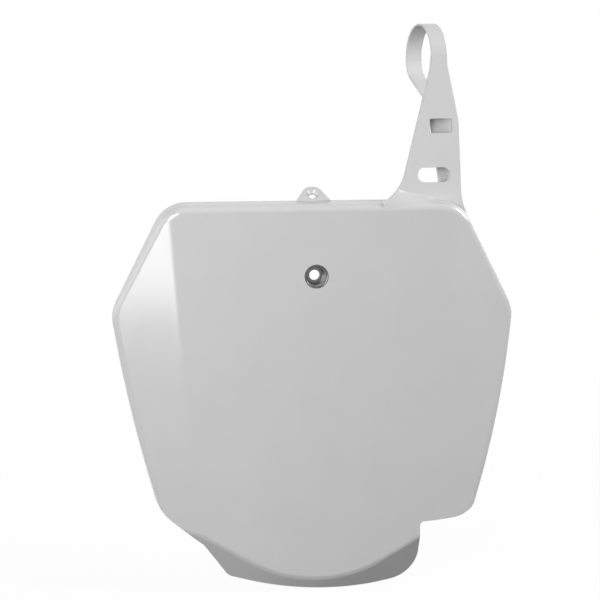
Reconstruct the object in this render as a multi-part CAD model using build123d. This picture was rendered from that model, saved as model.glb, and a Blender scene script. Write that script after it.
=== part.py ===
from build123d import *
import os
from math import cos, radians, sin, tan

# Racing number board: one thin moulding with a rolled rim, two flanks bent back, a turned-back
# chin, a leaning tab and a strap that loops round the handlebar, and a metal cup for its bolt.
# Millimetres. It is drawn lying on its back, with X to the right and Y up as seen by someone
# who looks at its face, and Z towards them. The last lines stand it up, facing -Y.
# The origin is on the bolt hole's axis, in the flat back of the bolt cup.

# Wall and rim
wall = 2.4
face_to_seat = 12.5
rim_depth = 16.0
rim_draft = 6.0
rolled_edge = 4.5

# Outline of the rim's back edge: heights are from the bolt, widths are before rounding
top_width = 176.6
top_height = 43.9
shoulder_width = 241.4
shoulder_height = -20.6
foot_width = 112.4
foot_height = -240.0
left_bulge = 7.6
right_bulge = 11.6
shoulder_round = 21.0

# Flanks, bent back along two leaning creases
crease_top_width = 172.0
crease_lean = 4.7
flank_bend = 14.0
crease_round = 40.0

# Chin: two facets that fall back from a rounded vee at the foot of the face
chin_bottom = -181.5
chin_vee = 30.0
chin_lean = 50.0
chin_round = 79.0
chin_side_round = 30.0

# Lower hem, where the moulding is trimmed off
hem_left = (-83.1, -147.7)
hem_step = (-67.3, -160.1)
hem_chin = (-52.5, -180.5)
hem_bottom = (8.7, -188.2)
hem_left_round = 30.0
hem_step_round = 8.0
hem_chin_round = 6.0
hem_clearance = 0.3

# Hose notch at the lower right
notch_wall = 62.1
notch_height = -148.8
notch_slope = 4.0
notch_round = 2.5
notch_chin = -183.6
notch_chin_round = 18.0
notch_side_round = 20.0

# Bolt cup, pressed into a sleeve behind the face
bolt_hole_diameter = 6.2
cup_floor = 2.5
cup_floor_diameter = 9.4
cup_mouth_diameter = 12.2
cup_wall = 1.0
cup_lip = 0.7
cup_fit = 0.05
sleeve_end = 0.5

# Top tab, rooted in the middle of the rim's wall
tab_width = 20.6
tab_thickness = 2.6
tab_lean = 50.0
tab_root = 1.0
tab_hole_height = 4.6
tab_hole_diameter = 4.2
tab_sink_diameter = 7.4
tab_end_radius = 6.2

# Strap plate: it stands on the right of the top rim, turned and leaning back
strap_overhang = 1.27
strap_setback = 4.9
strap_turn = 12.5
strap_lean = 6.0
strap_thickness = 3.0
strap_edge = 0.4
strap_width = 40.5
strap_root_reach = 10.5
strap_root_dip = 1.1
strap_root_rise = 16.0
strap_foot_depth = 17.0
strap_foot_sink = 0.5
strap_foot_round = 40.0
swell_start = -10.0
swell_end = 30.0
swell_fall = 6.4
swell_rise = 9.0
shoulder_rise = 47.0
neck_rise = 80.0
neck_round = 30.0
band_rise = 86.2
band_left = 24.2
band_width = 10.4

# Slots in the strap plate
slot_height = 8.7
buckle_slot_width = 14.4
buckle_slot_place = (28.7, 43.75)
buckle_slot_round = 1.0
catch_slot_width = 20.9
catch_slot_place = (23.0, 14.75)

# Loop behind the strap plate, and the tongue that ends it
loop_thickness = 1.3
loop_depth = 41.0
loop_drop = 7.8
loop_return = 56.0
loop_bend = 14.0
tongue_gap = 3.0
tongue_bend = 8.0
tongue_shoulder = 47.5
tongue_left = 24.1
tongue_right = 38.5
tongue_end = 5.0
tongue_end_left = 28.9
tongue_end_right = 40.0
tongue_round = 4.0
catch_rib = 2.0
catch_rib_height = 4.6
catch_rib_rise = 9.5
catch_rib_round = 0.6

rim_z = face_to_seat - rim_depth
cavity_overrun = 2.5 * wall


def near(value, target):
    return abs(value - target) < 0.01


def round_at(sketch, point, radius):
    """Rounds the corner of a flat outline at a point."""
    return fillet([v for v in sketch.vertices() if near(v.X, point[0]) and near(v.Y, point[1])], radius)


def side_outline():
    """Top, slopes and sides of the rim's back edge, carried down past the chin."""
    tops = [(side * top_width / 2, top_height) for side in (1, -1)]
    shoulders = [(side * shoulder_width / 2, shoulder_height) for side in (1, -1)]
    feet = [(side * foot_width / 2, foot_height) for side in (1, -1)]
    outline = make_face(
        Line(feet[1], feet[0])
        + SagittaArc(feet[0], shoulders[0], -right_bulge)
        + Polyline(shoulders[0], tops[0], tops[1], shoulders[1])
        + SagittaArc(shoulders[1], feet[1], -left_bulge)
    )
    for corner in tops + shoulders:
        outline = round_at(outline, corner, shoulder_round)
    return outline


def section(z, inset):
    """Outline of the board at one depth: drafted sides above and the chin's vee below."""
    draft, vee, lean = radians(rim_draft), radians(chin_vee), radians(chin_lean)
    shrink = (z - rim_z) * tan(draft) + inset / cos(draft)
    fall = (face_to_seat - z) * tan(lean) - inset / cos(lean)
    apex = chin_bottom - chin_round * (1 / cos(vee) - 1) - fall / cos(vee)
    reach = shoulder_width
    rise = apex + reach * tan(vee)
    above = Polyline((0, apex), (reach, rise), (reach, reach), (-reach, reach), (-reach, rise), close=True)
    outline = side_outline()
    if not near(shrink, 0):
        outline = offset(outline, -shrink, kind=Kind.INTERSECTION)
    outline = outline & make_face(above)
    low = [v for v in outline.vertices() if near(v.Y, apex + abs(v.X) * tan(vee))]
    outline = fillet([v for v in low if not near(v.X, 0)], chin_side_round - inset)
    outline = round_at(outline, (0, apex), chin_round - inset)
    return Pos(0, 0, z) * outline


def flank_plane(side, inset):
    bend, lean = radians(flank_bend), radians(crease_lean)
    outward = (side * cos(lean) * sin(bend), -sin(lean) * sin(bend), cos(bend))
    crease = (side * crease_top_width / 2, top_height, face_to_seat)
    return Plane(crease, z_dir=outward).offset(-inset)


def on_plane(edge, plane):
    return all(near(plane.to_local_coords(edge @ t).Z, 0) for t in (0, 0.5, 1))


def board_form(inset, reach):
    """The board as a full block, inset from its outer skin and carried back past the rim."""
    face = Plane.XY.offset(face_to_seat - inset)
    flanks = [flank_plane(side, inset) for side in (-1, 1)]
    form = loft([section(rim_z - reach, inset), section(face_to_seat - inset, inset)], ruled=True)
    for flank in flanks:
        form = split(form, bisect_by=flank, keep=Keep.BOTTOM)
    creases = [e for e in form.edges() if on_plane(e, face) and any(on_plane(e, p) for p in flanks)]
    form = fillet(creases, crease_round - inset)
    front = [f for f in form.faces() if f.normal_at().Z > cos(radians(2 * flank_bend))]
    edges = [e for f in front for e in f.edges()]
    outer = [e for e in edges if sum(e.is_same(other) for other in edges) == 1]
    return fillet(outer, max(rolled_edge - inset, wall / 4))


def hem():
    """Front view of what is kept of the moulding: trimmed at the foot and notched."""
    reach = shoulder_width
    fall = (hem_step[1] - hem_left[1]) / (hem_step[0] - hem_left[0])
    rise = tan(radians(notch_slope))
    start = (-reach, hem_left[1] - (reach + hem_left[0]) * fall)
    corner = (notch_wall, notch_height)
    notch_end = (reach, notch_height + (reach - notch_wall) * rise)
    chin_end = (notch_wall, notch_chin)
    kept = make_face(
        Polyline(notch_end, (reach, reach), (-reach, reach), start, hem_step, hem_chin)
        + ThreePointArc(hem_chin, hem_bottom, chin_end)
        + Polyline(chin_end, corner, notch_end)
    )
    kept = kept & offset(side_outline(), hem_clearance, kind=Kind.INTERSECTION)

    def on_line(point, slope):
        return [v for v in kept.vertices() if near(v.Y, point[1] + (v.X - point[0]) * slope)]

    kept = fillet(min(on_line(hem_step, fall), key=lambda v: v.X), hem_left_round)
    kept = fillet(max(on_line(corner, rise), key=lambda v: v.X), notch_side_round)
    kept = round_at(kept, hem_step, hem_step_round)
    kept = round_at(kept, hem_chin, hem_chin_round)
    kept = round_at(kept, chin_end, min(notch_chin_round, notch_height - notch_chin - 2 * notch_round))
    return round_at(kept, corner, notch_round)


def turned(*points):
    return revolve(Plane.XZ * make_face(Polyline(*points, close=True)), Axis.Z)


def bolt_cup():
    """Turned metal cup that takes the bolt's pull, with a rounded mouth."""
    hole, seat, mouth = bolt_hole_diameter / 2, cup_floor_diameter / 2, cup_mouth_diameter / 2
    cup = turned(
        (hole, 0), (seat + cup_wall, 0), (mouth + cup_wall, face_to_seat),
        (mouth, face_to_seat), (seat, cup_floor), (hole, cup_floor),
    )
    inner = [e for e in cup.edges().filter_by(GeomType.CIRCLE) if near(e.radius, mouth)]
    return fillet(inner, cup_lip)


def cup_sleeve():
    """Sleeve behind the face that holds the bolt cup, and the cone that the cup fills."""
    back, front = (d / 2 + cup_wall + cup_fit for d in (cup_floor_diameter, cup_mouth_diameter))
    flare = (front - back) / face_to_seat
    skin = face_to_seat - wall / 2
    end, root = back + flare * sleeve_end + wall, back + flare * skin + wall
    sleeve = turned((0, sleeve_end), (end, sleeve_end), (root, skin), (0, skin))
    return sleeve, turned((0, 0), (back, 0), (front, face_to_seat), (0, face_to_seat))


def tab():
    """The tab's blade and its sunk screw hole."""
    lean = radians(tab_lean)
    root = (0, top_height - wall / 2, rim_z)
    plane = Plane(root, x_dir=(1, 0, 0), z_dir=(0, sin(lean), cos(lean)))
    end = Pos(0, tab_hole_height) * Circle(tab_end_radius)
    base = Line((-tab_width / 2, -tab_root), (tab_width / 2, -tab_root))
    blade = extrude(make_hull(end.edges() + [base]), tab_thickness)
    hole, sink = tab_hole_diameter / 2, tab_sink_diameter / 2
    sink_floor = tab_thickness - (sink - hole)
    cut = turned((0, -wall), (hole, -wall), (hole, sink_floor), (sink, tab_thickness), (0, tab_thickness))
    return plane * blade, plane * Pos(0, tab_hole_height) * cut


def strap_outline():
    """Front view of the strap's plate, from its foot in the rim up to the band."""
    turn = radians(strap_turn)
    band_right = band_left + band_width
    slope = (shoulder_width - top_width) / 2 / (top_height - shoulder_height) / cos(turn)
    corner = strap_width - strap_overhang - strap_foot_sink
    root, heel = (-strap_root_reach, -strap_root_dip), (-strap_root_reach, -strap_foot_depth)
    spring = (band_left * strap_root_rise / neck_rise, strap_root_rise)
    foot = (strap_width, (corner - strap_width) / slope)
    toe = (corner + strap_foot_depth * slope, -strap_foot_depth)
    shoulder = (strap_width, shoulder_rise)
    left_neck, right_neck = (band_left, neck_rise), (band_right, neck_rise)
    outline = make_face(
        Polyline(
            root, heel, toe, foot, shoulder, right_neck,
            (band_right, band_rise), (band_left, band_rise), left_neck, spring,
        )
        + TangentArc(spring, root, tangent=(-band_left, -neck_rise))
    )
    outline = round_at(outline, foot, strap_foot_round)
    for neck in (shoulder, left_neck, right_neck):
        outline = round_at(outline, neck, neck_round)
    return outline


def strap_blank(outline, thickness, runs_on):
    """A flat length of strap with its edges broken, except where it runs on into something else."""
    blank = extrude(outline, -thickness)
    faces = blank.faces().sort_by(Axis.Z)
    rims = [e for f in (faces[0], faces[-1]) for e in f.edges()]
    return chamfer([e for e in rims if not runs_on(e.center().Y)], strap_edge)


def strap_plate():
    """Flat front of the strap, with its two slots."""
    sunk = -strap_root_dip - wall
    plate = strap_blank(
        strap_outline(), strap_thickness, lambda height: near(height, band_rise) or height < sunk
    )
    buckle = Pos(*buckle_slot_place) * RectangleRounded(buckle_slot_width, slot_height, buckle_slot_round)
    catch = Pos(*catch_slot_place) * SlotOverall(catch_slot_width, slot_height)
    return plate - extrude(buckle + catch, -strap_thickness) - band_taper()


def band_taper():
    """What thins the back of the plate's neck down to the band."""
    side = Plane((0, 0, 0), x_dir=(0, 0, -1), z_dir=(1, 0, 0))
    ramp = Polyline(
        (strap_thickness, neck_rise), (loop_thickness, band_rise), (strap_thickness, band_rise), close=True
    )
    return extrude(side * make_face(ramp), strap_width)


def strap_tongue(top):
    """Flat end of the strap, with the catch rib across its front."""
    band_right = band_left + band_width
    neck = top - strap_edge
    shoulder, end_left, end_right = (
        (tongue_right, tongue_shoulder), (tongue_end_left, tongue_end), (tongue_end_right, tongue_end)
    )
    outline = make_face(
        Polyline(
            (band_right, top), (band_left, top), (band_left, neck), (tongue_left, tongue_shoulder),
            end_left, end_right, shoulder, (band_right, neck), close=True,
        )
    )
    for corner in (shoulder, end_left, end_right):
        outline = round_at(outline, corner, tongue_round)
    tongue = strap_blank(outline, loop_thickness, lambda height: near(height, top))
    across = Pos(0, catch_rib_rise + catch_rib_height / 2) * Rectangle(2 * strap_width, catch_rib_height)
    rib = extrude(outline & across, catch_rib)
    front = rib.faces().sort_by(Axis.Z)[-1]
    return tongue + fillet(front.edges().filter_by(Axis.X), catch_rib_round)


def strap_loop():
    """Band that turns back over the handlebar and comes forward into the tongue."""
    middle = loop_thickness / 2
    tongue_depth = strap_thickness + tongue_gap
    back, front = loop_depth - middle, tongue_depth + middle
    bend = band_rise - loop_drop
    knee = bend - (back - front) / tan(radians(loop_return))
    tongue_top = knee - tongue_bend * tan(radians(loop_return) / 2)
    path = CenterArc((loop_depth / 2, band_rise), back - loop_depth / 2, 180, -180)
    path += FilletPolyline(
        (back, band_rise), (back, bend), (front, knee), (front, tongue_top - strap_edge),
        radius=[loop_bend, tongue_bend],
    )
    band_middle = band_left + band_width / 2
    side = Plane((band_middle, 0, 0), x_dir=(0, 0, -1), z_dir=(1, 0, 0))
    band = Rectangle(band_width, loop_thickness)
    band = chamfer(band.vertices(), strap_edge)
    start = Plane((band_middle, band_rise, -middle), x_dir=(1, 0, 0), z_dir=(0, 1, 0))
    loop = sweep(start * band, path=side * path)
    return loop + Pos(0, 0, -tongue_depth) * strap_tongue(tongue_top)


def strap_plane():
    """Plane of the strap's front, above the right of the top rim."""
    turn, lean = radians(strap_turn), radians(strap_lean)
    inset = (strap_width - strap_overhang) * cos(turn)
    root = (top_width / 2 - inset, top_height, face_to_seat - strap_setback)
    facing = (sin(turn) * cos(lean), sin(lean), cos(turn) * cos(lean))
    return Plane(root, x_dir=(cos(turn), 0, -sin(turn)), z_dir=facing)


def strap_swell():
    """Swelling that carries the face up into the strap's foot and dies out to the right."""
    plane = strap_plane()
    root, normal = plane.origin, plane.z_dir
    foot, top, rim_top = top_height - swell_fall, top_height + swell_rise, top_height - wall / 2

    def depth(x, y):
        return root.Z - ((x - root.X) * normal.X + (y - root.Y) * normal.Y) / normal.Z

    def profile(x, start, end, leaving):
        front = Spline(start, end, tangents=[(1, 0), leaving])
        back = Polyline(end, (end[0], end[1] - wall / 2), (foot, rim_z + rim_depth / 2), start)
        return Plane((x, 0, 0), x_dir=(0, 1, 0), z_dir=(1, 0, 0)) * make_face(front + back)

    left, right = root.X + swell_start, root.X + swell_end
    full = profile(left, (foot, face_to_seat), (top, depth(left, top)), (1, -normal.Y / normal.Z))
    hidden = profile(right, (foot, face_to_seat - wall / 2), (rim_top, depth(right, rim_top)), (0, -1))
    trim = plane * extrude(strap_outline(), face_to_seat, both=True)
    return loft([full, hidden], ruled=True) & trim


def strap():
    """The whole strap, with its swelling foot."""
    return strap_plane() * (strap_plate() + strap_loop()) + strap_swell()


def number_board():
    """The moulding, lying on its back."""
    cavity = board_form(wall, cavity_overrun)
    sleeve, cup_cone = cup_sleeve()
    blade, screw_hole = tab()
    board = (board_form(0, 0) - cavity) & extrude(hem(), rim_depth, both=True)
    return board + sleeve - cup_cone + (blade + strap() - cavity) - screw_hole


os.makedirs("parts", exist_ok=True)
for name, piece in (("number_board", number_board()), ("bolt_cup", bolt_cup())):
    export_step(Plane.XZ * piece, f"parts/{name}.step")
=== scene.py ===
from math import cos, pi, radians, sin

import bpy
from mathutils import Matrix, Vector


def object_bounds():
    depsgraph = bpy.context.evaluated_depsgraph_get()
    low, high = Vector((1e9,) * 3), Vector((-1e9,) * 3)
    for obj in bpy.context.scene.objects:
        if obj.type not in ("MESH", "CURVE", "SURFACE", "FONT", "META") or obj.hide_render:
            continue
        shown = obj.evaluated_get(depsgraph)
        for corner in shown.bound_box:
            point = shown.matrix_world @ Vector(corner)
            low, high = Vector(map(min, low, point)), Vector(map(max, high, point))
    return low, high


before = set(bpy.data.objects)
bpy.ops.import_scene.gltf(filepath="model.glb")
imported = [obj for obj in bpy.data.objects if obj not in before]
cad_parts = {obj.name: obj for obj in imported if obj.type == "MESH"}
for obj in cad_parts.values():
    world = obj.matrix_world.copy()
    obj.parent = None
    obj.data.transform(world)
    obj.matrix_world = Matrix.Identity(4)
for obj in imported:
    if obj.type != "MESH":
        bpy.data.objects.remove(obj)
cad_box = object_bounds()

# Lengths are in metres and angles in degrees, if nothing else is said.

# Camera, as an orbit about the point in the middle of the picture; lens and sensor in millimetres
VIEW_AZIMUTH = -7.03
VIEW_ELEVATION = 6.53
VIEW_ROLL = -0.226
VIEW_DISTANCE = 1.3924
VIEW_AIM = Vector((-0.0084, 0, -0.0151))
LENS = 140.5
SENSOR = 36.0

# Softboxes: name, azimuth, elevation, distance, width, height, and brightness where white is 1
SOFTBOXES = (
    ("left softbox", -29, 12, 0.95, 0.39, 0.74, 8.9),
    ("left fill", -75, 15, 1.2, 0.7, 0.7, 1.7),
    ("right softbox", 76, 30, 1.3, 0.7, 0.8, 8.8),
    ("rear softbox", 128, 12, 1.4, 0.8, 0.9, 2.0),
    ("rear fill", -118, 12, 1.4, 0.8, 0.9, 1.0),
)

# Noise: the range that most of its values lie in
NOISE_RANGE = (0.3, 0.7)

# Plastic: its grey and how far that varies, and the same for its roughness
PLASTIC_GREY = 0.57
PLASTIC_IOR = 1.55
MOTTLE = 0.008
MOTTLE_SIZE = 0.03
MOTTLE_DETAIL = 3
GLOSS_MEAN = 0.15
GLOSS_SPREAD = 0.02
GLOSS_SIZE = 0.012
GLOSS_DETAIL = 3
# Relief of the plastic: long flow waves and a fine grain
WAVE_SIZE = 0.045
WAVE_DEPTH = 0.00012
WAVE_DETAIL = 2
GRAIN_SIZE = 0.0007
GRAIN_DEPTH = 0.000002
GRAIN_DETAIL = 2
# Rubbed edges: how wide and how much paler, and the cosines between which the rubbing sets in
WEAR_WIDTH = 0.0008
WEAR_SAMPLES = 6
WEAR_LIFT = 0.03
WEAR_RANGE = (0.98, 0.8)
# Cosines between which a smooth normal goes from discarded to trusted
NORMAL_TRUST = (0.88, 0.95)

# Steel of the bolt cup
STEEL_GREY = 0.14
STEEL_ROUGHNESS = 0.2
STEEL_ROUGHNESS_SPREAD = 0.02
STEEL_GRAIN_SIZE = 0.0007
STEEL_GRAIN_DETAIL = 2
TURNING_PITCH = 0.0003
TURNING_DEPTH = 0.000002

# Floor: its grey for scattered light and as seen, and how much of its look is plain white,
# from under the object to where the shadow has faded out
FLOOR_SIZE = 8.0
FLOOR_BOUNCE = 0.02
FLOOR_PAPER = 0.9
FLOOR_WHITE_SHARE = (0.93, 1)
FLOOR_SHADOW_REACH = 0.9

# Room: how brightly it lights the object from the front and from the wall behind, and how far
# back a direction points where the wall is at its full brightness
ROOM_FILL = 0.05
WALL_FILL = 0.3
WALL_FULL_AT = 0.3

# Inputs and output of a Mix node for vectors
MIX_SHARE, MIX_FIRST, MIX_SECOND = "0", "4", "5"
MIX_RESULT = 1


def direction(azimuth, elevation):
    """Unit vector from the object towards a lamp or camera; azimuth 0 is straight in front."""
    a, e = radians(azimuth), radians(elevation)
    return Vector((sin(a) * cos(e), -cos(a) * cos(e), sin(e)))


def facing(back, roll=0.0):
    """Rotation of a camera or lamp that looks along -back, with Z up."""
    right = Vector((0, 0, 1)).cross(back).normalized()
    up = back.cross(right)
    turn = Matrix.Rotation(radians(roll), 3, "Z")
    return (Matrix((right, up, back)).transposed() @ turn).to_4x4()


def place(obj, position, rotation):
    """Puts a new object into the scene."""
    bpy.context.scene.collection.objects.link(obj)
    obj.matrix_world = Matrix.Translation(position) @ rotation


def make_camera():
    lens = bpy.data.cameras.new("camera")
    lens.sensor_width = SENSOR
    lens.lens = LENS
    camera = bpy.data.objects.new("camera", lens)
    back = direction(VIEW_AZIMUTH, VIEW_ELEVATION)
    place(camera, VIEW_AIM + back * VIEW_DISTANCE, facing(back, VIEW_ROLL))
    bpy.context.scene.camera = camera


def softbox(name, azimuth, elevation, distance, width, height, glow):
    """Lamp that faces the object; glow is its brightness where white is 1."""
    lamp = bpy.data.lights.new(name, "AREA")
    lamp.shape = "RECTANGLE"
    lamp.size = width
    lamp.size_y = height
    lamp.energy = glow * pi * width * height
    back = direction(azimuth, elevation)
    place(bpy.data.objects.new(name, lamp), back * distance, facing(back))


class Nodes:
    """Shorthand for building a node tree."""

    def __init__(self, tree):
        self.tree = tree
        tree.nodes.clear()

    def add(self, kind, settings=None, **sockets):
        """New node; in a socket's name, an underscore stands for a space."""
        node = self.tree.nodes.new(kind)
        for key, value in (settings or {}).items():
            setattr(node, key, value)
        for key, value in sockets.items():
            self.put(node, key.replace("_", " "), value)
        return node

    def put(self, node, key, value):
        """Links or sets an input, found by its name or by its number in digits."""
        socket = node.inputs[int(key)] if key.isdigit() else node.inputs[key]
        if isinstance(value, bpy.types.NodeSocket):
            self.tree.links.new(value, socket)
        else:
            socket.default_value = value


def grey(value):
    return (value, value, value, 1)


def new_material(name):
    """A material and its empty node tree."""
    material = bpy.data.materials.new(name)
    material.use_nodes = True
    return material, Nodes(material.node_tree)


def calculate(nodes, operation, *values, clamp=False):
    """Result of one operation on numbers."""
    node = nodes.add("ShaderNodeMath", {"operation": operation, "use_clamp": clamp})
    for index, value in enumerate(values):
        nodes.put(node, str(index), value)
    return node.outputs[0]


def dot_product(nodes, first, second):
    dot = nodes.add("ShaderNodeVectorMath", {"operation": "DOT_PRODUCT"})
    nodes.put(dot, "0", first)
    nodes.put(dot, "1", second)
    return dot.outputs["Value"]


def map_range(nodes, value, source, result):
    """Takes one range of numbers to another, and keeps inside it."""
    turned = nodes.add("ShaderNodeMapRange", Value=value)
    keys = ("From Min", "From Max", "To Min", "To Max")
    for key, number in zip(keys, (*source, *result)):
        nodes.put(turned, key, number)
    return turned.outputs[0]


def mix_shader(nodes, share, first, second):
    """Node that goes from one shader to another as the share goes from zero to one."""
    mix = nodes.add("ShaderNodeMixShader", Fac=share)
    nodes.put(mix, "1", first.outputs[0])
    nodes.put(mix, "2", second.outputs[0])
    return mix


def seen_ray(nodes):
    """One for rays from the camera, off gloss or through glass, and zero for scattered light."""
    path = nodes.add("ShaderNodeLightPath").outputs
    total = path["Is Camera Ray"]
    for other in ("Is Glossy Ray", "Is Transmission Ray"):
        total = calculate(nodes, "ADD", total, path[other], clamp=True)
    return total


def make_world():
    """White all round to look at, and as light a dim room with a pale wall behind the object."""
    world = bpy.data.worlds.new("room")
    world.use_nodes = True
    nodes = Nodes(world.node_tree)
    ray = nodes.add("ShaderNodeTexCoord").outputs["Generated"]
    backward = nodes.add("ShaderNodeSeparateXYZ", Vector=ray).outputs["Y"]
    strength = map_range(nodes, backward, (0, WALL_FULL_AT), (ROOM_FILL, WALL_FILL))
    fill = nodes.add("ShaderNodeBackground", Color=grey(1), Strength=strength)
    white = nodes.add("ShaderNodeBackground", Color=grey(1), Strength=1.0)
    mix = mix_shader(nodes, seen_ray(nodes), fill, white)
    nodes.add("ShaderNodeOutputWorld", Surface=mix.outputs[0])
    bpy.context.scene.world = world


def floor_material():
    """Pale paper that looks white and keeps a light shadow."""
    material, nodes = new_material("floor")
    bounce = nodes.add("ShaderNodeBsdfDiffuse", Color=grey(FLOOR_BOUNCE))
    paper = nodes.add("ShaderNodeBsdfDiffuse", Color=grey(FLOOR_PAPER))
    white = nodes.add("ShaderNodeEmission", Color=grey(1), Strength=1.0)
    spot = nodes.add("ShaderNodeTexCoord").outputs["Object"]
    length = nodes.add("ShaderNodeVectorMath", {"operation": "LENGTH"}, Vector=spot)
    share = map_range(nodes, length.outputs["Value"], (0, FLOOR_SHADOW_REACH), FLOOR_WHITE_SHARE)
    seen = mix_shader(nodes, share, paper, white)
    mix = mix_shader(nodes, seen_ray(nodes), bounce, seen)
    nodes.add("ShaderNodeOutputMaterial", Surface=mix.outputs[0])
    return material


def make_floor(height):
    half = FLOOR_SIZE / 2
    mesh = bpy.data.meshes.new("floor")
    corners = [(-half, -half, 0), (half, -half, 0), (half, half, 0), (-half, half, 0)]
    mesh.from_pydata(corners, [], [(0, 1, 2, 3)])
    mesh.materials.append(floor_material())
    floor = bpy.data.objects.new("floor", mesh)
    place(floor, Vector((0, 0, height)), Matrix.Identity(4))


def noise(nodes, spot, size, detail):
    """Noise with features of about a given size."""
    texture = nodes.add("ShaderNodeTexNoise", Vector=spot, Scale=1 / size, Detail=detail)
    return texture.outputs["Fac"]


def around(nodes, value, mean, spread):
    """Takes a noise value's usual range to a range about a mean."""
    return map_range(nodes, value, NOISE_RANGE, (mean - spread, mean + spread))


def bump(nodes, height, depth, **normal):
    """Normal of a surface with a relief on it, laid over another normal if one is given."""
    relief = nodes.add("ShaderNodeBump", Strength=1.0, Distance=depth, Height=height, **normal)
    return relief.outputs[0]


def edge_wear(nodes):
    """One where an edge is rubbed, zero on the flats."""
    rounded = nodes.add("ShaderNodeBevel", {"samples": WEAR_SAMPLES}, Radius=WEAR_WIDTH)
    smooth = nodes.add("ShaderNodeNewGeometry").outputs["Normal"]
    return map_range(nodes, dot_product(nodes, rounded.outputs[0], smooth), WEAR_RANGE, (0, 1))


def sound_normal(nodes):
    """The smooth normal, or the face's own one where a corner's normal strays far from it."""
    shape = nodes.add("ShaderNodeNewGeometry").outputs
    likeness = dot_product(nodes, shape["Normal"], shape["True Normal"])
    mix = nodes.add("ShaderNodeMix", {"data_type": "VECTOR"})
    nodes.put(mix, MIX_SHARE, map_range(nodes, likeness, NORMAL_TRUST, (0, 1)))
    nodes.put(mix, MIX_FIRST, shape["True Normal"])
    nodes.put(mix, MIX_SECOND, shape["Normal"])
    return mix.outputs[MIX_RESULT]


def plastic_material():
    """Moulded white polypropylene: satin, faintly mottled and waved, rubbed paler at its edges."""
    material, nodes = new_material("white_plastic")
    spot = nodes.add("ShaderNodeTexCoord").outputs["Object"]
    mottle = noise(nodes, spot, MOTTLE_SIZE, MOTTLE_DETAIL)
    body = around(nodes, mottle, PLASTIC_GREY, MOTTLE)
    level = calculate(nodes, "MULTIPLY_ADD", edge_wear(nodes), WEAR_LIFT, body)
    colour = nodes.add("ShaderNodeCombineColor", Red=level, Green=level, Blue=level)
    gloss = noise(nodes, spot, GLOSS_SIZE, GLOSS_DETAIL)
    wave = noise(nodes, spot, WAVE_SIZE, WAVE_DETAIL)
    grain = noise(nodes, spot, GRAIN_SIZE, GRAIN_DETAIL)
    waved = bump(nodes, wave, WAVE_DEPTH, Normal=sound_normal(nodes))
    shader = nodes.add(
        "ShaderNodeBsdfPrincipled",
        Base_Color=colour.outputs[0],
        Roughness=around(nodes, gloss, GLOSS_MEAN, GLOSS_SPREAD),
        IOR=PLASTIC_IOR,
        Normal=bump(nodes, grain, GRAIN_DEPTH, Normal=waved),
    )
    nodes.add("ShaderNodeOutputMaterial", Surface=shader.outputs[0])
    return material


def steel_material():
    """Dark polished steel with the fine rings that turning leaves."""
    material, nodes = new_material("dark_steel")
    spot = nodes.add("ShaderNodeTexCoord").outputs["Object"]
    along = nodes.add("ShaderNodeSeparateXYZ", Vector=spot).outputs["Y"]
    turns = calculate(nodes, "MULTIPLY", along, 2 * pi / TURNING_PITCH)
    rings = calculate(nodes, "SINE", turns)
    grain = noise(nodes, spot, STEEL_GRAIN_SIZE, STEEL_GRAIN_DETAIL)
    shader = nodes.add(
        "ShaderNodeBsdfPrincipled",
        Base_Color=grey(STEEL_GREY),
        Metallic=1.0,
        Roughness=around(nodes, grain, STEEL_ROUGHNESS, STEEL_ROUGHNESS_SPREAD),
        Normal=bump(nodes, rings, TURNING_DEPTH),
    )
    nodes.add("ShaderNodeOutputMaterial", Surface=shader.outputs[0])
    return material


def dress(name, material):
    """Gives a CAD node its material."""
    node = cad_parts[name]
    node.data.materials.clear()
    node.data.materials.append(material)


bpy.context.scene.view_settings.view_transform = "Standard"
floor_height = cad_box[0][2]
make_world()
make_floor(floor_height)
for lamp in SOFTBOXES:
    softbox(*lamp)
make_camera()
dress("number_board", plastic_material())
dress("bolt_cup", steel_material())
